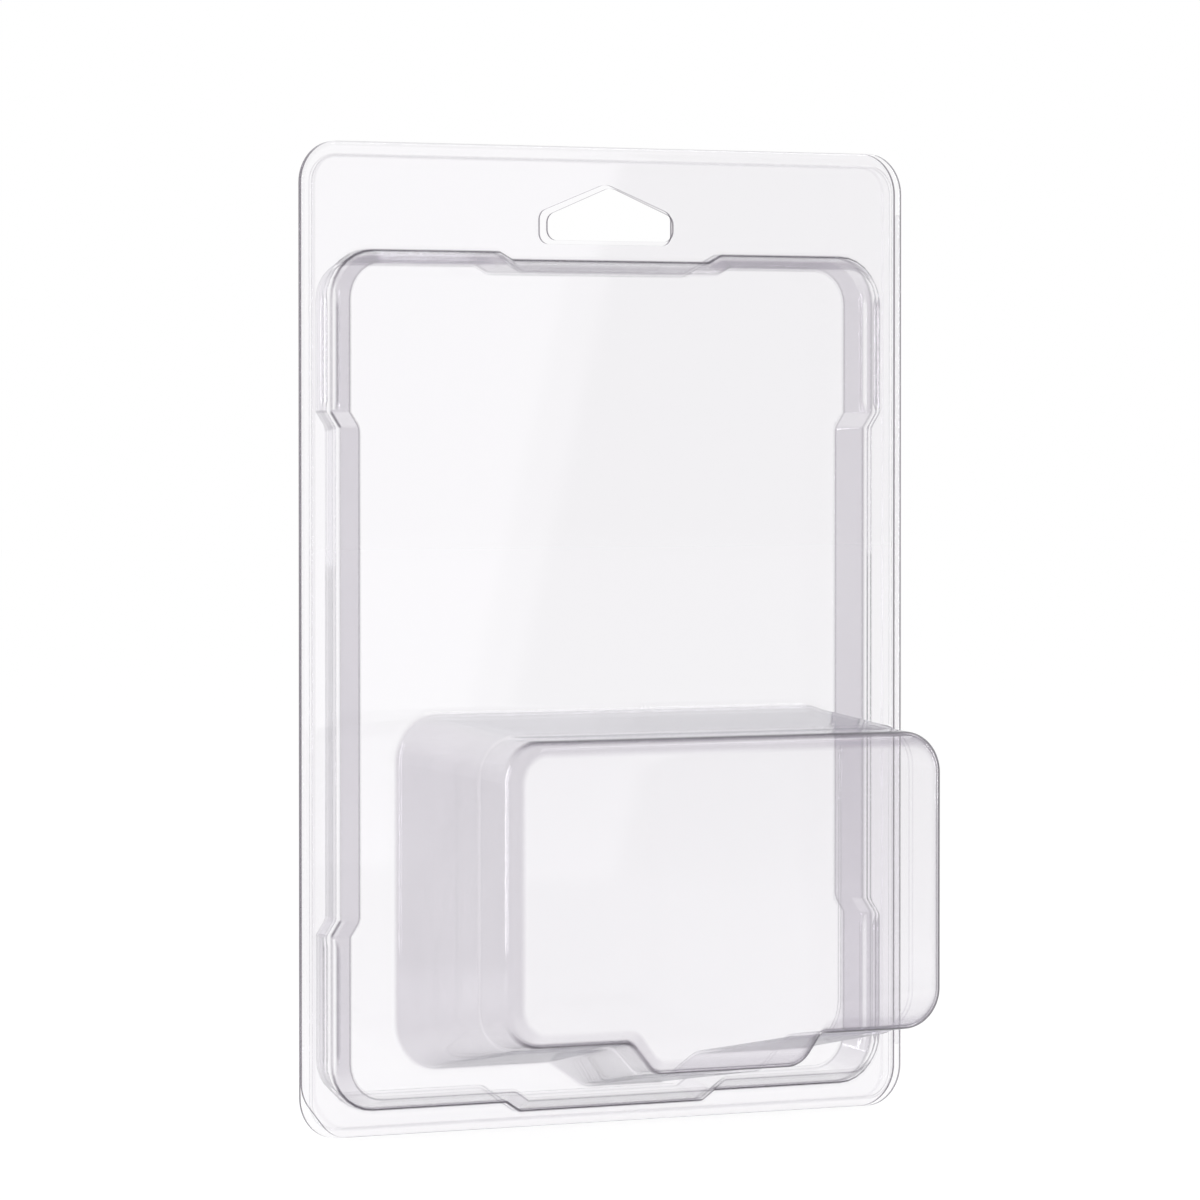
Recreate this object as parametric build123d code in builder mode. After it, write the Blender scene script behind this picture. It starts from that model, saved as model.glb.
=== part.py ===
from build123d import *
from math import atan2, degrees, hypot
import os
os.makedirs("parts", exist_ok=True)

# Clear clamshell protector for a carded toy car: two thermoformed sheets hinged on the right edge.
# Millimetres, +Z up, front faces -Y, parting plane at y = 0, origin at the top of the hang hole.

# Sheet and flange
sheet = 0.5                  # thickness of the formed sheet
case_width = 141.0           # outer width of the flange
case_height = 190.0          # outer height of the flange
corner_radius = 8.0          # outer corners of the flange
rim_width = 2.3              # flat rim outside the joggle, sides and top
rim_width_bottom = 1.3       # flat rim outside the joggle, lower edge
joggle = 0.6                 # how far the flange steps away from the parting plane
joggle_run = 0.5             # sideways run of that step
finger_side = 10.0           # finger corner, length taken off the left edge
finger_bottom = 8.6          # finger corner, length taken off the lower edge
finger_bow = 1.6             # how far the finger cut bows towards the corner

# Hang hole
hole_from_top = 8.0          # upper edge of the flange to the hole's bearing apex
hole_height = 10.2           # apex to flat bottom
hole_width = 29.6            # across the shoulders
hole_side = 4.8              # upright side of the hole below the roof
hole_end_radius = 2.1        # rounding of the four shoulder corners
hole_apex_radius = 4.0       # rounding of the apex
hole_clearance = 0.7         # the back sheet's hole is larger all round by this much

# Card tray, root outline on the flange with its jogged middle sections
side_margin = 6.0            # flange edge to the tray's root, at the corner sections
top_margin = 20.6            # the same at the upper edge
bottom_margin = 5.0          # the same at the lower edge
tray_radius = 9.5            # corner rounding of the root outline
jog = 2.1                    # inward step of the long sides
jog_top = 1.5                # inward step of the upper edge
jog_bottom = 1.9             # outward step of the lower edge
jog_run = 3.0                # length of each slanted jog
jog_round = 4.0              # rounding of the jogs' outer corners, at the root
jog_hollow = 1.4             # rounding of the jogs' inner corners, at the root
upper_section = 30.9         # length of the upper corner sections
lower_section = 33.5         # length of the lower corner sections
step_top_half = 23.0         # half length of the stepped part of the upper edge
step_bottom_half = 21.5      # half length of the stepped part of the lower edge
tray_depth = 4.7             # front face of the tray, from the parting plane
pan_depth = 7.8              # back face of the rear pan, from the parting plane
wall_lean = 2.2              # inward lean of the tray walls over their depth
tray_edge = 0.7              # bevel that breaks the tray's front edge on the outside
tray_root = 0.5              # slope that eases the tray's root into the flange

# Snap grooves on the side walls of the corner sections
groove_radius = 0.55         # hollow of the groove seen from outside
groove_share = 0.45          # share of the wall depth at which it runs
groove_end = 10.5            # tray corner to the groove
groove_jog = 2.5             # groove to the side jog

# Blister for the car, on the tray's front face
blister_depth = 43.0         # front face, from the parting plane
blister_side_gap = 8.2       # tray's front edge to the blister's base, at the indented sides
blister_low_gap = 7.7        # tray's root to the blister's base, at the lower edge
blister_height = 67.9        # height of the blister at its base
blister_radius = 9.0         # corner rounding at the base
side_lean = 1.7              # inward lean of the blister's sides
top_lean = 4.2               # lean of its upper wall
bottom_lean = 6.5            # lean of its lower wall
radius_loss = 1.0            # corner rounding lost from base to front
ledge_share = 0.70           # share of the depth at which the walls step in
ledge = 0.5                  # width of that step
belly_flat = 9.0             # half width of the lower bulge's flat, at the base
belly_half = 17.0            # half width of the bulge where it leaves the lower wall, at the base
belly_drop = 5.1             # drop of the bulge at the base
belly_spread = 6.0           # the bulge is wider by this much each side at the front
belly_gain = 1.1             # and drops this much more there
belly_round = 5.0            # rounding of the bulge's corners
front_edge = 3.2             # rounding of the blister's front edge
brow_share = 0.6             # bevel inside that edge, as a share of its inner radius
base_slope = 1.1             # slope that eases the blister's base into the tray

# Hinge fold on the right edge
bead_radius = 0.55           # folded edge of the sheet, round about the hinge axis
bead_inset = 12.0            # the fold stops this far from the flange's ends
hinge_gap = 0.1              # play between the fold and the rear rim

# Derived places, measured from the middle of the case
hole_top = case_height / 2 - hole_from_top
tray_half = case_width / 2 - side_margin
tray_top = case_height / 2 - top_margin
tray_bottom = bottom_margin - case_height / 2
jog_upper = tray_top - upper_section
jog_lower = tray_bottom + lower_section
base_half = tray_half - wall_lean - jog - blister_side_gap
base_bottom = tray_bottom + blister_low_gap
base_top = base_bottom + blister_height
axis_x = case_width / 2 - bead_radius
rear_reach = axis_x - bead_radius - hinge_gap
slab = 2.0                   # thickness of the forms behind the parting plane
margin = 10.0                # how far the inner form overshoots the sheet

front_plane = Plane(origin=(0, 0, -hole_top), x_dir=(1, 0, 0), z_dir=(0, -1, 0))
rear_plane = Plane(origin=(0, 0, -hole_top), x_dir=(-1, 0, 0), z_dir=(0, 1, 0))


# Corners of an outline nearest to the given places and to their mirror images
def nearest(outline, places):
    spots = [Vector(x * side, z) for x, z in places for side in (1, -1)]
    return [min(outline.vertices(), key=lambda v: (Vector(v.X, v.Y) - spot).length) for spot in spots]


# Level edges of a form on one plane, inside a window about the middle of the case
def level_edges(form, level, half, low, top):
    near = sheet / 10
    boxes = [(edge, edge.bounding_box()) for edge in form.edges()]
    return [edge for edge, box in boxes
            if abs(box.max.Y - level) < near and abs(box.min.Y - level) < near
            and box.max.X < half and box.min.X > -half
            and box.min.Z > low - hole_top and box.max.Z < top - hole_top]


# Rounded rectangle of the flange, taken in by the given amounts
def flange_outline(plane, level, side, lower):
    with BuildSketch(plane.offset(level)) as outline:
        with Locations((0, (lower - side) / 2)):
            RectangleRounded(case_width - 2 * side, case_height - side - lower, corner_radius - side)
    return outline.sketch


# Jogged root outline of the tray, taken in by the given amount, with its jogs rounded on the outside
def tray_outline(plane, level, inset, outside):
    half = tray_half - inset
    top = tray_top - inset
    low = tray_bottom + inset
    corners = [(half, top), (half, low)]
    jogs_out = [(step_top_half + jog_run, top), (half, jog_upper), (half, jog_lower),
                (step_bottom_half, low - jog_bottom)]
    jogs_in = [(step_top_half, top - jog_top), (half - jog, jog_upper - jog_run),
               (half - jog, jog_lower + jog_run), (step_bottom_half + jog_run, low)]
    right = [jogs_in[0], jogs_out[0], corners[0], jogs_out[1], jogs_in[1],
             jogs_in[2], jogs_out[2], corners[1], jogs_in[3], jogs_out[3]]
    left = [(-x, z) for x, z in reversed(right)]
    with BuildSketch(plane.offset(level)) as outline:
        with BuildLine():
            Polyline(*right, *left, close=True)
        make_face()
        fillet(nearest(outline, corners), tray_radius - inset)
        if outside:
            fillet(nearest(outline, jogs_out), jog_round)
            fillet(nearest(outline, jogs_in), jog_hollow)
    return outline.sketch


# Outline of the blister with its lower bulge, at a share of the way from base to front
def blister_outline(level, share, inset):
    half = base_half - side_lean * share - inset
    top = base_top - top_lean * share - inset
    low = base_bottom + bottom_lean * share + inset
    flat = belly_flat + belly_spread * share
    wide = belly_half + belly_spread * share
    drop = belly_drop + belly_gain * share
    corners = [(half, top), (half, low)]
    belly = [(wide, low), (flat, low - drop)]
    left = [(-x, z) for x, z in reversed(corners + belly)]
    with BuildSketch(front_plane.offset(level)) as outline:
        with BuildLine():
            Polyline(*corners, *belly, *left, close=True)
        make_face()
        fillet(nearest(outline, corners), blister_radius - radius_loss * share - inset)
        fillet(nearest(outline, belly), belly_round)
    return outline.sketch


# Hang hole, enlarged all round by the given clearance
def hang_hole(plane, level, grow):
    half = hole_width / 2 + grow
    low = hole_top - hole_height - grow
    side = low + hole_side + 2 * grow
    rise = hole_top + grow - side
    roof = hole_top + grow + hole_apex_radius * (hypot(half, rise) / half - 1)
    with BuildSketch(plane.offset(level)) as outline:
        with BuildLine():
            Polyline((-half, low), (half, low), (half, side), (0, roof), (-half, side), close=True)
        make_face()
        ends = [v for v in outline.vertices() if abs(v.X) > half / 2]
        fillet(ends, hole_end_radius)
        apex = outline.vertices().sort_by(Axis.Y)[-1]
        fillet(apex, hole_apex_radius)
    return outline.sketch


# Solid form of one half, flange and tray; the skin is zero for its outside and the sheet for its inside
def half_form(plane, depth, skin, overshoot):
    outside = skin == 0
    rim = sheet - skin
    flat = rim + joggle
    face = depth - skin
    with BuildPart() as form:
        extrude(flange_outline(plane, -slab, -overshoot, -overshoot), amount=slab + rim)
        step = flange_outline(plane, rim, rim_width + skin / 2, rim_width_bottom + skin / 2)
        extrude(step, amount=joggle, taper=degrees(atan2(joggle_run, joggle)))
        tray = tray_outline(plane, flat, skin, outside)
        extrude(tray, amount=face - flat, taper=degrees(atan2(wall_lean, face - flat)))
        if outside:
            window = (tray_half + sheet, tray_bottom - jog_bottom - sheet, tray_top + jog_top)
            chamfer(level_edges(form, plane.offset(flat).origin.Y, *window), tray_root)
            chamfer(level_edges(form, plane.offset(face).origin.Y, *window), tray_edge)
        height = plane.offset(depth * groove_share).origin.Y
        spot = tray_half - wall_lean * groove_share
        for upper, lower in ((tray_top - groove_end, jog_upper + groove_jog),
                             (jog_lower - groove_jog, tray_bottom + groove_end)):
            middle = (upper + lower) / 2 - hole_top
            with Locations((spot, height, middle), (-spot, height, middle)):
                Cylinder(groove_radius + skin, upper - lower + 2 * skin, mode=Mode.SUBTRACT)
    return form


# Form of the front half with its blister: ruled walls through sections of level, share and inset
def front_form(skin, overshoot):
    tray = half_form(front_plane, tray_depth, skin, overshoot)
    face = tray_depth - skin
    front = blister_depth - skin
    deep = front - face
    step = face + deep * ledge_share
    bevel = (front_edge - skin) * brow_share
    lower = [(step, ledge_share, skin)]
    upper = [(step, ledge_share, skin + ledge)]
    if skin == 0:
        lower = [(face, 0, -base_slope), (face + base_slope, base_slope / deep, 0)] + lower
        upper = upper + [(front, 1, 0)]
    else:
        lower = [(face, 0, skin)] + lower
        upper = upper + [(front - bevel, 1 - bevel / deep, skin), (front, 1, skin + bevel)]
    with BuildPart() as form:
        add(tray.part)
        for below, above in [*zip(lower, lower[1:]), *zip(upper, upper[1:])]:
            loft([blister_outline(*below), blister_outline(*above)], ruled=True)
        if skin == 0:
            brow = level_edges(form, front_plane.offset(front).origin.Y, base_half + sheet,
                               base_bottom - belly_drop, base_top)
            fillet(brow, front_edge)
    return form


# Front shell: sheet between its two forms, hang hole, finger corner and folded hinge edge
with BuildPart() as front_shell:
    add(front_form(0, 0).part)
    add(front_form(sheet, margin).part, mode=Mode.SUBTRACT)
    extrude(hang_hole(front_plane, -slab, 0), amount=2 * slab + joggle, mode=Mode.SUBTRACT)
    with BuildSketch(front_plane.offset(-slab)) as finger:
        with BuildLine():
            corner = (-case_width / 2, -case_height / 2)
            above = (corner[0], corner[1] + finger_side)
            beside = (corner[0] + finger_bottom, corner[1])
            chord = Vector(*beside) - Vector(*above)
            bow = (Vector(*above) + Vector(*beside)) / 2 + chord.rotate(Axis.Z, -90).normalized() * finger_bow
            Line(corner, above)
            ThreePointArc(above, bow, beside)
            Line(beside, corner)
        make_face()
    extrude(finger.sketch, amount=2 * slab, mode=Mode.SUBTRACT)
    with Locations((axis_x, 0, -hole_top)):
        Cylinder(bead_radius, case_height - 2 * bead_inset)

# Rear shell: pan behind the card, larger hang hole, rim cut clear of the hinge fold
with BuildPart() as rear_shell:
    add(half_form(rear_plane, pan_depth, 0, 0).part)
    add(half_form(rear_plane, pan_depth, sheet, margin).part, mode=Mode.SUBTRACT)
    extrude(hang_hole(rear_plane, -slab, hole_clearance), amount=2 * slab + joggle, mode=Mode.SUBTRACT)
    with Locations((rear_reach + margin / 2, 0, -hole_top)):
        Box(margin, 2 * slab, case_height + margin, mode=Mode.SUBTRACT)

front_shell.part.label = "front_shell"
rear_shell.part.label = "rear_shell"
export_step(front_shell.part, "parts/front_shell.step")
export_step(rear_shell.part, "parts/rear_shell.step")
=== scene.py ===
import logging
from collections.abc import Iterable
from dataclasses import dataclass, field
from enum import Enum
from math import radians

import bmesh
import bpy
import numpy as np
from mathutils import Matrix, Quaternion, Vector
from mathutils.geometry import delaunay_2d_cdt


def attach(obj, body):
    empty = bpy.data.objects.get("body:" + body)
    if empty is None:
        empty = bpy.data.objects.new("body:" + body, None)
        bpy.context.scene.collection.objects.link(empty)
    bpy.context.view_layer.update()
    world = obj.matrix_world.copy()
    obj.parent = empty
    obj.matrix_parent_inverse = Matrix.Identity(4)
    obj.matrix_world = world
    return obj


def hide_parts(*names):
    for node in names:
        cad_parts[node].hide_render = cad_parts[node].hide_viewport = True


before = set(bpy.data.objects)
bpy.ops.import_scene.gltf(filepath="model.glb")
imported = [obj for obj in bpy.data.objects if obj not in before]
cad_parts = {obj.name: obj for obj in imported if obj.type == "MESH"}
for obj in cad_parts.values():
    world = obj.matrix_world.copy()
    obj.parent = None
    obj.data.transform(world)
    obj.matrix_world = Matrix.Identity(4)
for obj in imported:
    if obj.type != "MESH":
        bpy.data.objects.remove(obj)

LOG = logging.getLogger("protector_case")
MM = 0.001
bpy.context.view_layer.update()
FOUR_SIDES = tuple[float, float, float, float]
COLOUR = tuple[float, float, float, float]


class Side(Enum):
    """Which way a half of the case is formed from the parting plane."""

    FRONT = -1.0
    REAR = 1.0


def unit(v: np.ndarray) -> np.ndarray:
    """Vectors scaled to length one along the last axis."""
    return v / np.maximum(np.linalg.norm(v, axis=-1, keepdims=True), 1e-12)


def smooth_step(low: float, high: float, value: np.ndarray) -> np.ndarray:
    """Ease from 0 at low to 1 at high: 3t^2 - 2t^3 of the clamped share t."""
    t = np.clip((value - low) / (high - low), 0.0, 1.0)
    return t * t * (3.0 - 2.0 * t)


def blend_arc(a: np.ndarray, corner: np.ndarray, b: np.ndarray, weight: np.ndarray,
              steps: int) -> np.ndarray:
    """Circular arcs from a to b that round a corner.

    Rational quadratic curve with the sharp corner as middle point, whose weight is the sine of half
    the corner's angle: (1-t)^2 a + 2t(1-t) w c + t^2 b over the same sum of weights.

    Args:
        a: Tangent points before the corner, (..., d).
        corner: Sharp corners, (..., d).
        b: Tangent points after the corner, (..., d).
        weight: Middle weights, (...).
        steps: Number of points on each arc.

    Returns:
        Points, (steps, ..., d).
    """
    t = np.linspace(0.0, 1.0, steps).reshape((steps,) + (1,) * a.ndim)
    w = weight[None, ..., None]
    mid = 2.0 * t * (1.0 - t) * w
    return ((1.0 - t) ** 2 * a + mid * corner + t * t * b) / ((1.0 - t) ** 2 + mid + t * t)


def rounded_loop(points: np.ndarray, radii: np.ndarray, arc_steps: int,
                 edge_steps: int) -> np.ndarray:
    """Closed outline through the corners of a polygon, each rounded by its own radius.

    Args:
        points: Corners in order, (k, 2).
        radii: Rounding at each corner, (k,).
        arc_steps: Points on each arc.
        edge_steps: Points inside each straight edge.

    Returns:
        Outline points, (k * (arc_steps + edge_steps), 2).
    """
    before = unit(np.roll(points, 1, 0) - points)
    after = unit(np.roll(points, -1, 0) - points)
    half = np.arccos(np.clip((before * after).sum(-1), -1.0, 1.0)) / 2.0
    reach = (radii / np.tan(half))[:, None]
    first, last = points + before * reach, points + after * reach
    arcs = blend_arc(first, points, last, np.sin(half), arc_steps).transpose(1, 0, 2)
    start = arcs[:, -1:]
    end = np.roll(arcs[:, 0], -1, 0)[:, None]
    share = np.linspace(0.0, 1.0, edge_steps + 2)[1:-1][None, :, None]
    return np.concatenate([arcs, start + (end - start) * share], 1).reshape(-1, 2)


def rounded_profile(stations: np.ndarray, radii: list[float], arc_steps: int,
                    fills: list[int]) -> tuple[np.ndarray, list[slice]]:
    """A broken profile carried along an outline, with its corners rounded.

    Every outline point has its own profile, with one point from each station. The inner stations
    are rounded by arcs in the plane of their two neighbours, and the straight parts are divided.

    Args:
        stations: Outlines at the profile's corners, (l, n, 3).
        radii: Rounding at each inner station, l - 2 values.
        arc_steps: Points on each rounding.
        fills: Points inside each of the l - 1 straight parts.

    Returns:
        Loops from the first station to the last, (m, n, 3), and the rows of each rounding.
    """
    rows = [stations[:1]]
    spans = []
    for i in range(1, len(stations)):
        if i == len(stations) - 1:
            arc = stations[i:]
        else:
            back = unit(stations[i - 1] - stations[i])
            ahead = unit(stations[i + 1] - stations[i])
            half = np.arccos(np.clip((back * ahead).sum(-1), -1.0, 1.0)) / 2.0
            reach = (radii[i - 1] / np.tan(half))[:, None]
            arc = blend_arc(stations[i] + back * reach, stations[i], stations[i] + ahead * reach,
                            np.sin(half), arc_steps)
        share = np.linspace(0.0, 1.0, fills[i - 1] + 2)[1:-1, None, None]
        rows.append(rows[-1][-1:] + (arc[:1] - rows[-1][-1:]) * share)
        first = sum(map(len, rows))
        rows.append(arc)
        spans.append(slice(first, first + len(arc)))
    return np.concatenate(rows, 0), spans[:-1]


def bend_of(loops: np.ndarray, wide: float = 0.15, tight: float = 1.1) -> np.ndarray:
    """How tightly a net of loops is bent, from 0 on flats and wide curves to 1 on tight folds.

    The turn between neighbouring steps over their mean length, along the profile and round the
    outline, eased between two curvatures.

    Args:
        loops: Points, (m, n, 3), in millimetres, with three loops or more.
        wide: Curvature, per millimetre, where a bend starts to show.
        tight: Curvature where it shows fully.

    Returns:
        Bend at each point, (m, n).
    """
    bent = np.zeros(loops.shape[:2])
    step = np.diff(loops, axis=0)
    size = np.linalg.norm(step, axis=-1)
    way = unit(step)
    turn = np.arccos(np.clip((way[1:] * way[:-1]).sum(-1), -1.0, 1.0))
    bent[1:-1] = 2.0 * turn / (size[1:] + size[:-1])
    step = np.roll(loops, -1, 1) - loops
    size = np.linalg.norm(step, axis=-1)
    way = unit(step)
    turn = np.arccos(np.clip((way * np.roll(way, 1, 1)).sum(-1), -1.0, 1.0))
    bent = np.maximum(bent, 2.0 * turn / (size + np.roll(size, 1, 1)))
    return smooth_step(wide, tight, bent)


def stroke(place: np.ndarray, middle: float, width: float) -> np.ndarray:
    """Soft line across a place: exp(-((place - middle) / width)^2)."""
    return np.exp(-((place - middle) / width) ** 2)


def travel(loops: np.ndarray, start: int) -> np.ndarray:
    """Distance along each profile of a net of loops, counted from a starting row.

    Args:
        loops: Points, (m, n, 3).
        start: Row where the distance is zero.

    Returns:
        Distances, (m, n), negative before the starting row.
    """
    step = np.linalg.norm(np.diff(loops, axis=0), axis=-1)
    run = np.concatenate([np.zeros((1, loops.shape[1])), np.cumsum(step, 0)])
    return run - run[start]


def compass(loops: np.ndarray, ease: tuple[float, float] = (0.1, 0.8)) -> np.ndarray:
    """How far each point of a net of loops lies on a right, left, upper or lower wall.

    The loops run up the right side, so the way along a loop tells the side, eased and shared out
    so that the four shares add up to one.

    Args:
        loops: Points, (m, n, 3).
        ease: Parts of the way along a side between which its share grows from none to all.

    Returns:
        Shares of right, left, upper and lower wall, (4, m, n).
    """
    way = unit(np.roll(loops, -1, 1) - np.roll(loops, 1, 1))
    shares = np.stack([way[..., 2], -way[..., 2], -way[..., 0], way[..., 0]])
    shares = smooth_step(*ease, shares) + 1e-6
    return shares / shares.sum(0)


def turns_left(loop: np.ndarray) -> bool:
    """Whether a closed flat loop runs anticlockwise, by the sign of its area."""
    after = np.roll(loop, -1, 0)
    return bool((loop[:, 0] * after[:, 1] - loop[:, 1] * after[:, 0]).sum() > 0.0)


class SheetMesh:
    """Collects the surfaces of one formed sheet, with points shared between neighbours.

    INSIDE asks the triangulation for the triangles inside the outlines. SAME_PLACE is the distance
    under which two points count as one. WALL_SHADE_SLOPE holds the slopes where the painted shade
    on sloping walls starts and where it is full, each as one less the normal's share across the
    sheet.
    """

    INSIDE = 1
    SAME_PLACE = 1e-6
    WALL_SHADE_SLOPE = (0.06, 0.42)

    def __init__(self) -> None:
        """Start with no points and no faces."""
        self.points: list[np.ndarray] = []
        # Per point: bend for the painted fold shade, share of painted wall shade, least painted
        # shade and painted line depth.
        self.bends: list[np.ndarray] = []
        self.greys: list[np.ndarray] = []
        self.least_shades: list[np.ndarray] = []
        self.lines: list[np.ndarray] = []
        self.count = 0
        self.smooth: list[np.ndarray] = []
        self.level: list[np.ndarray] = []
        self.cut: list[np.ndarray] = []

    def add(self, loops: np.ndarray, crease: float | np.ndarray = 0.0, fold_shade: float = 1.0,
            grey: float | np.ndarray = 1.0, haze_and_shade: float | np.ndarray = 0.0,
            line: float | np.ndarray = 0.0) -> np.ndarray:
        """Take in points and give back their numbers.

        Args:
            loops: Points, (m, n, 3), in millimetres.
            crease: Least bend of the points, shown as painted dark creases, one value or one for
                each loop or point.
            fold_shade: Share of the found bend that shows as painted shade at the folds.
            grey: Share of the painted shade on sloping walls, one value or one for each point.
            haze_and_shade: Least painted shade, also on level faces, one value or one for each
                point.
            line: Depth of the painted dark lines along sharp forms, one value or one for each
                point.

        Returns:
            Numbers of the points, (m, n).
        """
        shape = loops.shape[:2]
        number = np.arange(self.count, self.count + shape[0] * shape[1]).reshape(shape)
        self.points.append(loops.reshape(-1, 3))
        bend = np.zeros(shape)
        if len(loops) > 2:
            bend[1:-1] = fold_shade * bend_of(loops)[1:-1]
        self.bends.append(np.maximum(bend, crease).ravel())
        self.greys.append(np.broadcast_to(grey, shape).ravel())
        self.least_shades.append(np.broadcast_to(haze_and_shade, shape).ravel())
        self.lines.append(np.broadcast_to(line, shape).ravel())
        self.count += number.size
        return number

    @staticmethod
    def bands(number: np.ndarray) -> np.ndarray:
        """Quads between each loop and the next, closed round the outline."""
        a, b = number[:-1], number[1:]
        return np.stack([a, np.roll(a, -1, 1), np.roll(b, -1, 1), b], -1).reshape(-1, 4)

    def ruled(self, number: np.ndarray) -> None:
        """Join loops into a smooth band."""
        self.smooth.append(self.bands(number))

    def edge(self, outer: np.ndarray, inner: np.ndarray) -> None:
        """Join two loops across the sheet's cut edge."""
        self.cut.append(self.bands(np.stack([outer, inner])))

    def fill(self, border: np.ndarray, holes: list[np.ndarray]) -> None:
        """Level face inside a border loop and outside the holes, as a net of the loops' own points.

        The net is a Delaunay triangulation of all the outlines, each run anticlockwise. It keeps
        the triangles that belong to the border's outline alone.

        Args:
            border: Numbers of the outer loop.
            holes: Numbers of each loop that is left open.
        """
        loops = [border, *holes]
        number = np.concatenate(loops)
        flat = np.concatenate(self.points)[number][:, [0, 2]]
        sizes = np.cumsum([0] + [len(loop) for loop in loops])
        outlines = [np.arange(first, last) for first, last in zip(sizes[:-1], sizes[1:])]
        outlines = [(line if turns_left(flat[line]) else line[::-1]).tolist() for line in outlines]
        places = [Vector(place) for place in flat.tolist()]
        net = delaunay_2d_cdt(places, [], outlines, self.INSIDE, self.SAME_PLACE)
        _, _, faces, sources, _, owners = net
        origin = np.array([source[0] for source in sources])
        keep = np.array([owner == [0] for owner in owners])
        tris = number[origin[np.array(faces)[keep]]]
        self.level.append(np.concatenate([tris, -np.ones((len(tris), 1), int)], 1))

    def cap(self, loop: np.ndarray) -> None:
        """Close a small round end with a fan about its middle.

        Args:
            loop: Numbers of the end's loop.
        """
        centre = self.add(np.concatenate(self.points)[loop].mean(0)[None, None])[0, 0]
        ends = np.broadcast_to([centre, -1], (len(loop), 2))
        self.smooth.append(np.column_stack([loop, np.roll(loop, -1), ends]))

    def build(self, name: str) -> bpy.types.Object:
        """Write the mesh in metres, faces outwards, smooth on the formed bands alone.

        Args:
            name: Name of the object.

        Returns:
            The linked object, at the origin.
        """
        points = np.concatenate(self.points) * MM
        kinds = [np.concatenate(part) for part in (self.smooth, self.level, self.cut)]
        faces = np.concatenate(kinds)
        counts = [len(part) for part in kinds]
        smooth = np.repeat([True, False, False], counts)
        cut = np.repeat([False, False, True], counts)
        sizes = np.where(faces[:, 3] < 0, 3, 4)
        corners = faces.ravel()[faces.ravel() >= 0]
        mesh = bpy.data.meshes.new(name)
        mesh.vertices.add(len(points))
        mesh.vertices.foreach_set("co", points.ravel().astype(np.float32))
        mesh.loops.add(len(corners))
        mesh.loops.foreach_set("vertex_index", corners.astype(np.int32))
        mesh.polygons.add(len(faces))
        mesh.polygons.foreach_set("loop_start", (np.cumsum(sizes) - sizes).astype(np.int32))
        mesh.polygons.foreach_set("use_smooth", smooth)
        mesh.update(calc_edges=True)
        mesh.validate()
        work = bmesh.new()
        work.from_mesh(mesh)
        bmesh.ops.recalc_face_normals(work, faces=work.faces)
        work.to_mesh(mesh)
        work.free()
        self.paint(mesh, corners, sizes, cut)
        thing = bpy.data.objects.new(name, mesh)
        bpy.context.collection.objects.link(thing)
        return thing

    def paint(self, mesh: bpy.types.Mesh, corners: np.ndarray, sizes: np.ndarray,
              cut: np.ndarray) -> None:
        """Write the layers that the finish reads: cut edges, and the painted shade on walls, bends
        and lines.

        A point takes the painted wall shade as far as the flattest of its formed faces slopes, so
        level faces stay clear up to their borders.

        Args:
            mesh: Takes the layers.
            corners: Point numbers of all the faces in a row.
            sizes: Number of corners of each face.
            cut: Whether each face is a cut edge.
        """
        normal = np.empty(len(mesh.polygons) * 3, np.float32)
        mesh.polygons.foreach_get("normal", normal)
        # Painted shade on sloping walls: none on level faces, full on steep ones.
        slope = smooth_step(*self.WALL_SHADE_SLOPE, 1.0 - np.abs(normal[1::3]))
        wall_shade = np.ones(len(mesh.vertices))
        formed = np.repeat(~cut, sizes)
        np.minimum.at(wall_shade, corners[formed], np.repeat(slope, sizes)[formed])
        grey = np.maximum(wall_shade * np.concatenate(self.greys), np.concatenate(self.least_shades))
        bends, lines = np.concatenate(self.bends), np.concatenate(self.lines)
        layers = {"cut": cut, "painted_wall_shade": grey, "bend": bends, "line": lines}
        for name, values in layers.items():
            layer = mesh.attributes.new(name, "FLOAT", "FACE" if name == "cut" else "POINT")
            layer.data.foreach_set("value", values.astype(np.float32))


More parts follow.
